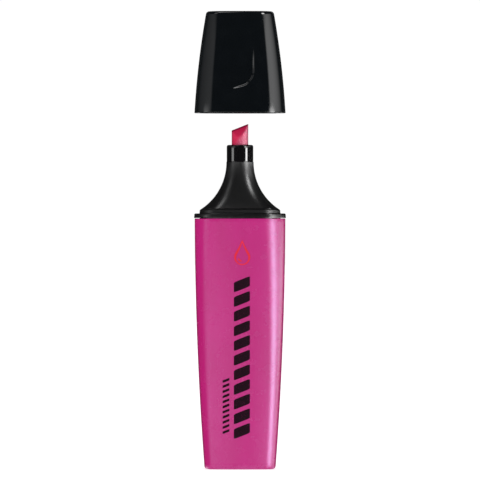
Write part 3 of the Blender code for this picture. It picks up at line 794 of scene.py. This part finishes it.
def nib_fibre():
    """Fibres that run up the rod, crimson with ink: wet and dark at the writing edge, where they
    end in tiny dots, with painted shade darkening both sides, and a painted highlight, paler
    pink, on the lower right flank, which also carries a glossy coat."""
    material, shader, place = new_material(
        "nib_fibre", IOR=1.45, Specular_IOR_Level=0.2, Coat_Roughness=0.4
    )
    strands = noise(place, 0.07 * MM, detail=4, stretch=(1, 1, 22), roughness=0.6)
    ends = noise(place, 0.06 * MM, detail=2)
    pools = noise(place, 1.1 * MM, detail=2)
    across = place.node("SeparateXYZ", {0: place})
    height = up_axis(place)
    below_edge = height - math.tan(NIB_SLANT) * across
    wet = rise(below_edge, WET_FROM, WET_TO)
    # Painted highlight: the lower right flank, where the right-hand lights fall, is mixed towards a
    # paler pink. The same patch also gets a real glossy coat.
    above_sheen_foot = height - SHEEN_PATCH_FOOT
    past_line = math.cos(SHEEN_PATCH_LEAN) * across - math.sin(SHEEN_PATCH_LEAN) * above_sheen_foot
    film = rise(past_line + 1.2 * MM * pools, -1.0 * MM, 0.6 * MM)
    colour = mix(strands, DEEP_CRIMSON, BRIGHT_CRIMSON)
    colour = mix(film * 0.8, colour, PAINTED_SHEEN_PINK)
    colour = mix(wet * 0.85, colour, WET_INK)
    # Painted shade: the rod's left and right edges are darkened.
    painted_side_shade = rise(across * across, SIDE_SHADE_FROM**2, nib_high.y**2)
    colour = mix(painted_side_shade * 0.55, colour, PAINTED_SIDE_SHADE)
    shine = 0.55 - 0.12 * pools - 0.12 * wet + 0.12 * strands
    feed(shader, Base_Color=colour, Roughness=shine, Coat_Weight=0.05 + 0.6 * film)
    feed(shader, Normal=relief(strands * 0.8 + ends * 0.2, 0.03 * MM))
    return material


place_piece(nib_mesh(), nib_fibre(), "pen", "nib_fibre", "nib")

# ---- Inner seal of the cap ------------------------------------------------------------
# A cup of softer polypropylene, pressed into the socket in the cap's ceiling. Its wide mouth
# grips the nozzle's collar and its narrow end leaves room for the nib, so the ink stays wet.

seal_low, seal_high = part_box("cap_inner_seal")
SEAL_GRIP_RADIUS = COLLAR_RADIUS + 0.1 * MM
SEAL_NECK_RADIUS = 3.2 * MM
SEAL_WALL = 1.0 * MM
SEAL_SHOULDER = 5.2 * MM
SEAL_BLACK = (0.021, 0.021, 0.023, 1)
INK_STAIN = (0.20, 0.010, 0.05, 1)


def seal_mesh():
    """A turned cup: in from its closed top, down outside, round the mouth and up inside."""
    step = seal_low.z + SEAL_SHOULDER
    grip, neck = SEAL_GRIP_RADIUS, SEAL_NECK_RADIUS
    cup = rounded(
        [
            (0.5 * MM, seal_high.z - SEAL_WALL, 0),
            (neck, seal_high.z - SEAL_WALL, 0.4 * MM),
            (neck, step + grip - neck, 0.3 * MM),
            (grip, step, 0.3 * MM),
            (grip, seal_low.z + 0.4 * MM, 0.2 * MM),
            (grip + 0.45 * MM, seal_low.z, 0.12 * MM),
            (grip + SEAL_WALL, seal_low.z, 0.2 * MM),
            (grip + SEAL_WALL, step + 0.4 * MM, 0.3 * MM),
            (neck + SEAL_WALL, step + grip - neck + 0.4 * MM, 0.3 * MM),
            (neck + SEAL_WALL, seal_high.z, 0.5 * MM),
            (0.5 * MM, seal_high.z, 0),
        ],
        longest=0.5 * MM,
    )
    return mesh_of("inner_seal_cup", [skin(np.stack([cup[:, 0], cup[:, 0], cup[:, 1]], -1), 192)])


def seal_plastic():
    """Softer black polypropylene: satin, with turned marks and a little dried ink inside."""
    material, shader, place = new_material("seal_plastic", IOR=1.49)
    turned = noise(place, 0.15 * MM, detail=2, stretch=(8, 8, 1))
    stains = rise(noise(place, 1.6 * MM, detail=3), 0.55, 0.7)
    colour = mix(stains * 0.35, SEAL_BLACK, INK_STAIN)
    feed(shader, Base_Color=colour, Roughness=0.32 + 0.14 * turned)
    feed(shader, Normal=relief(turned, 0.006 * MM))
    return material


place_piece(seal_mesh(), seal_plastic(), "cap", "seal_plastic", "cap_inner_seal")

# ---- Cap ------------------------------------------------------------------------------
# The black cap: polypropylene moulded in a mirror-polished tool, tapered, with a shallow
# thumb recess on each broad face, a socket inside its ceiling, and two webs that stiffen it.

cap_low, cap_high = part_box("cap_shell")
CAP_HALF_WIDTH = 13.4 * MM
CAP_ARC_RADIUS = 252.6 * MM
CAP_ARC_DROP = 14.5 * MM
CAP_WALL = 1.3 * MM
CAP_CEILING = 1.4 * MM
CAP_EDGE_RADIUS = 0.9 * MM
SOCKET_WALL = 1.25 * MM
SOCKET_LENGTH = 4.9 * MM
RECESS_DEPTH = 0.50 * MM
RECESS_RIGHT = 4.35 * MM
RECESS_FOOT = 7.35 * MM
RECESS_FOOT_SLOPE = 0.27
RECESS_CORNER = 3.8 * MM
RECESS_WALL = 0.75 * MM
CAP_BLACK = (0.0028, 0.0040, 0.0052, 1)
HANDLED_BLACK = (0.0036, 0.0050, 0.0064, 1)
RUBBED_CAP = (0.05, 0.052, 0.055, 1)


def cap_half_width(height):
    """The cap's flanks, by height above its mouth: an arc that would be upright below it."""
    fall = arc_fall(CAP_ARC_RADIUS, height + CAP_ARC_DROP)
    return CAP_HALF_WIDTH + arc_fall(CAP_ARC_RADIUS, CAP_ARC_DROP) - fall


def ease(value, low, high):
    """A smooth step from 0 at low to 1 at high."""
    t = np.clip((value - low) / (high - low), 0, 1)
    return t * t * (3 - 2 * t)


def thumb_recess(x, height):
    """Depth of the recess by x and height above the mouth. Its crisp edge is two lines, one
    upright at the right and one sloping at the foot, joined by a round corner; the depth eases
    in across the edge's wall, and dies away to the left and to the top."""
    from_right = RECESS_RIGHT - x
    slope = math.atan(RECESS_FOOT_SLOPE)
    from_foot = (height - RECESS_FOOT - RECESS_FOOT_SLOPE * x) * math.cos(slope)
    near_right = np.maximum(RECESS_CORNER - from_right, 0)
    near_foot = np.maximum(RECESS_CORNER - from_foot, 0)
    inside = RECESS_CORNER - np.hypot(near_right, near_foot)
    fade_left = ease(x, -5.2 * MM, 1.0 * MM)
    fade_top = 1 - ease(height, 12.0 * MM, 24.0 * MM)
    return RECESS_DEPTH * ease(inside, 0, RECESS_WALL) * fade_left * fade_top


def cap_mesh():
    """The cap in one surface: from the socket's ceiling out and down, over to the inner wall,
    round the mouth, up the outer wall and in over the top."""
    height = cap_high.z - cap_low.z
    ceiling = height - CAP_CEILING
    socket = SEAL_NECK_RADIUS + SEAL_WALL + CLEARANCE
    cup = rounded(
        [
            (0.5 * MM, ceiling, 0),
            (socket, ceiling, 0.2 * MM),
            (socket, ceiling - SOCKET_LENGTH, 0.2 * MM),
            (socket + SOCKET_WALL, ceiling - SOCKET_LENGTH, 0.2 * MM),
            (socket + SOCKET_WALL, ceiling - 0.35 * MM, 0),
        ],
        longest=1.2 * MM,
    )
    shell_inside = rounded(
        [(1.2 * MM, ceiling, 0), (0.0, ceiling, 0.5 * MM), (0.0, 0.6 * MM, 0)], longest=1.4 * MM
    )
    mouth = rounded(
        [
            (CAP_WALL, 0.5 * MM, 0),
            (CAP_WALL, 0.0, 0.2 * MM),
            (0.0, 0.0, 0.16 * MM),
            (0.0, 0.6 * MM, 0),
        ],
        longest=0.3 * MM,
    )
    flank = np.linspace(0.8 * MM, height - CAP_EDGE_RADIUS - 0.2 * MM, 140)
    top_edge = rounded(
        [
            (0.0, height - CAP_EDGE_RADIUS - 0.05 * MM, 0),
            (0.0, height, CAP_EDGE_RADIUS),
            (2.2 * MM, height, 0),
        ],
        steps=12,
        longest=0.8 * MM,
    )
    rows = [
        np.stack([cup[:, 0], cup[:, 0], cup[:, 1]], -1),
        body_rows(cap_half_width(shell_inside[:, 1]), CAP_WALL + shell_inside[:, 0], shell_inside[:, 1]),
        body_rows(cap_half_width(mouth[:, 1]), mouth[:, 0], mouth[:, 1]),
        body_rows(cap_half_width(flank), 0 * flank, flank),
        body_rows(cap_half_width(top_edge[:, 1]), top_edge[:, 0], top_edge[:, 1]),
    ]
    first = sum(len(part) for part in rows[:3])
    grid = skin(np.concatenate(rows) + [0, 0, cap_low.z], 400, crowd=1.25)
    outer = grid[first:]
    front = np.where(outer[..., 1] < 0, 1, -1)
    outer[..., 1] += front * thumb_recess(front * outer[..., 0], outer[..., 2] - cap_low.z)
    return mesh_of("cap_moulding", [grid])


def cap_plastic():
    """Glossy black polypropylene: a trace of blue, almost a mirror, with fine hairlines and
    duller patches from handling, a rubbed rim and top edge, and a matt top."""
    material, shader, place = new_material("cap_plastic", IOR=1.49)
    height = up_axis(place)
    hairlines = rise(noise(place, 0.5 * MM, detail=3, stretch=(0.1, 1, 5)), 0.66, 0.76)
    crossed = rise(noise(place, 0.5 * MM, detail=3, stretch=(4, 1, 0.12)), 0.68, 0.78)
    handling = rise(noise(place, 4 * MM, detail=3), 0.4, 0.75)
    grain = noise(place, 0.2 * MM, detail=2)
    ends = 1 - rise(height, cap_low.z, cap_low.z + 0.5 * MM)
    matt_top = rise(height, cap_high.z - 0.14 * MM, cap_high.z - 0.04 * MM)
    ends = ends + rise(height, cap_high.z - 0.50 * MM, cap_high.z - 0.15 * MM)
    rubbed = ends * rise(grain, 0.45, 0.65) * (1 - matt_top)
    colour = mix(handling, CAP_BLACK, HANDLED_BLACK)
    colour = mix(0.25 * rubbed, colour, RUBBED_CAP)
    shine = 0.045 + 0.03 * handling + 0.08 * hairlines + 0.08 * crossed + 0.25 * rubbed + 0.6 * matt_top
    ripple = noise(place, 3.0 * MM, detail=1) * 0.8 + grain * 0.04
    feed(shader, Base_Color=colour, Roughness=shine, Normal=relief(ripple, 0.006 * MM))
    return material


cap_finish = cap_plastic()
place_piece(cap_mesh(), cap_finish, "cap", "cap_plastic", "cap_shell")

web_low = seal_low.z + CLEARANCE
stiffener_heights = np.linspace(web_low, cap_high.z - CAP_CEILING + 0.2 * MM, 16)
stiffener_outer = cap_half_width(stiffener_heights - cap_low.z) - CAP_WALL + FIN_INTO_WALL
stiffener_inner = SEAL_GRIP_RADIUS + SEAL_WALL + CLEARANCE
stiffeners = [
    plate(end * stiffener_inner, end * stiffener_outer, stiffener_heights, 0.0, "Y")
    for end in (-1, 1)
]
place_piece(mesh_of("cap_webs", stiffeners), cap_finish, "cap", "cap_plastic")

# ---- Studio ---------------------------------------------------------------------------
# A plain pale floor and sky, and upright panels of soft light standing round the pen. Low ones
# shine in the barrel, those at nib height in the front section, and tall ones in the cap. The
# ones below the floor shine in the pen when it is seen from above, and "overhead" in its recess.

FLOOR_SIZE = 40.0
PANEL_DISTANCE = 1.2
CAMERA_DISTANCE = 2.5
VIEW_WIDTH = 0.1411
VIEW_CENTRE = 0.0673
SENSOR_WIDTH = 36.0
BOARD_GREY = (0.86, 0.86, 0.86, 1)
BOARD_PALE = (0.9, 0.9, 0.9, 1)


def studio_floor():
    """A pale, matt board, faintly mottled, glowing a little so that it's as white as the sky.
    Mirror-like reflections leave it out, and it doesn't shade the panels behind it."""
    mesh = bpy.data.meshes.new("studio_floor")
    half = FLOOR_SIZE / 2
    corners = [(-half, -half, 0), (half, -half, 0), (half, half, 0), (-half, half, 0)]
    mesh.from_pydata(corners, [], [(0, 1, 2, 3)])
    material, shader, place = new_material(
        "pale_board",
        Roughness=0.9,
        Specular_IOR_Level=0.1,
        Emission_Color=(1, 1, 1, 1),
        Emission_Strength=0.4,
    )
    feed(shader, Base_Color=mix(noise(place, 0.4), BOARD_GREY, BOARD_PALE))
    mesh.materials.append(material)
    floor = bpy.data.objects.new("studio_floor", mesh)
    bpy.context.scene.collection.objects.link(floor)
    floor.visible_glossy = False
    floor.visible_diffuse = False
    floor.visible_shadow = False


def soft_edges(tree, fades):
    """Fades a light out over a share of its width or height at its left, right, lower and
    upper edge."""
    place = Wire(tree.nodes.new("ShaderNodeNewGeometry").outputs["Parametric"])
    across, up = (place.node("SeparateXYZ", {0: place}, output=k) for k in range(2))
    glow = rise(across, 0, fades[0]) * rise(1 - across, 0, fades[1])
    glow = glow * rise(up, 0, fades[2]) * rise(1 - up, 0, fades[3])
    tree.links.new(glow.socket, tree.nodes["Emission"].inputs["Strength"])


def light(name, place, turn, width, height, radiance, fades):
    """A rectangle of light that shows as a reflection, and leaves matt shading to the sky."""
    data = bpy.data.lights.new(name, "AREA")
    data.shape = "RECTANGLE"
    data.size, data.size_y = width, height
    data.energy = radiance * width * height * math.pi
    data.use_nodes = True
    soft_edges(data.node_tree, fades)
    made = bpy.data.objects.new(name, data)
    bpy.context.scene.collection.objects.link(made)
    made.location, made.rotation_euler = place, turn
    made.visible_camera = False
    made.visible_diffuse = False


def panel(name, azimuths, heights, radiance, fades=(0.02, 0.02, 0.02, 0.02)):
    """An upright panel that faces the pen. Its edges are at two azimuths, in degrees round to
    the right from the camera, and at two heights over the view's centre, in metres."""
    start, end = (math.radians(angle) for angle in azimuths)
    middle = (start + end) / 2
    width = 2 * PANEL_DISTANCE * math.tan((end - start) / 2)
    x, y = PANEL_DISTANCE * math.sin(middle), -PANEL_DISTANCE * math.cos(middle)
    place = (x, y, VIEW_CENTRE + sum(heights) / 2)
    light(name, place, (math.pi / 2, 0.0, middle), width, heights[1] - heights[0], radiance, fades)


def studio_sky():
    """White where it is seen, pale for soft light on matt surfaces, dark in reflections."""
    world = bpy.data.worlds.new("studio_sky")
    world.use_nodes = True
    tree = world.node_tree
    path = tree.nodes.new("ShaderNodeLightPath")
    seen, glossy = Wire(path.outputs["Is Camera Ray"]), Wire(path.outputs["Is Glossy Ray"])
    strength = 0.98 + 0.04 * seen - 0.95 * glossy
    tree.links.new(strength.socket, tree.nodes["Background"].inputs["Strength"])
    tree.nodes["Background"].inputs["Color"].default_value = (1, 1, 1, 1)
    world.cycles.sampling_method = "NONE"
    bpy.context.scene.world = world


def camera():
    """Level with the middle of the pen, square to its front, with a very long lens."""
    data = bpy.data.cameras.new("camera")
    data.sensor_width = SENSOR_WIDTH
    data.lens = SENSOR_WIDTH * CAMERA_DISTANCE / VIEW_WIDTH
    data.clip_end = 100.0
    made = bpy.data.objects.new("camera", data)
    bpy.context.scene.collection.objects.link(made)
    made.location = (0.0, -CAMERA_DISTANCE, VIEW_CENTRE)
    made.rotation_euler = (math.pi / 2, 0.0, 0.0)
    bpy.context.scene.camera = made


studio_floor()
panel("right_foot", (2, 78), (-0.34, -0.02), 7.0, (0.4, 0.4, 0.05, 0.5))
panel("right_low", (28, 88), (-0.34, 0.02), 11.5, (0.35, 0.5, 0.05, 0.05))
panel("right_wing", (56, 146), (-0.34, 0.02), 4.3, (0.3, 0.75, 0.05, 0.05))
panel("right_mouth", (34, 150), (-0.09, 0.02), 5.5, (0.3, 0.5, 0.5, 0.05))
panel("right_strip", (49.5, 67), (0.02, 0.07), 22.0)
panel("right_lip", (34, 78), (0.075, 0.165), 8.0, (0.35, 0.5, 0.05, 0.05))
panel("right_tall", (41, 122), (0.11, 0.50), 2.6, (0.17, 0.7, 0.05, 0.3))
panel("right_high", (40, 60), (0.40, 1.20), 18.0, (0.1, 0.1, 0.1, 0.6))
panel("front_low", (-70, 20), (-0.34, 0.0), 0.5, (0.4, 0.6, 0.05, 0.05))
panel("left_low", (-73, 8), (-0.34, 0.0), 2.5, (0.45, 0.3, 0.05, 0.05))
panel("left_strip", (-77, -55), (0.02, 0.07), 4.7)
panel("left_lip", (-86, -40), (0.075, 0.165), 1.6, (0.4, 0.4, 0.05, 0.05))
panel("left_tall", (-130, -34), (0.11, 0.50), 0.54, (0.8, 0.18, 0.05, 0.3))
panel("left_high", (-72, -48), (0.52, 1.30), 1.6, (0.1, 0.1, 0.1, 0.3))
panel("right_below", (28, 88), (-0.90, -0.46), 8.0, (0.35, 0.5, 0.1, 0.2))
panel("left_below", (-80, -12), (-0.90, -0.46), 1.6, (0.4, 0.3, 0.1, 0.2))
panel("back_right_below", (112, 160), (-0.90, -0.46), 2.0, (0.3, 0.3, 0.1, 0.2))
panel("back_left_below", (-168, -108), (-0.90, -0.46), 7.0, (0.4, 0.4, 0.1, 0.2))
light("overhead", (-0.45, -0.6, 1.3), (0.0, 0.0, 0.0), 1.0, 0.6, 4.4, (0.3, 0.3, 0.2, 0.2))
studio_sky()
camera()
bpy.context.scene.view_settings.view_transform = "Standard"
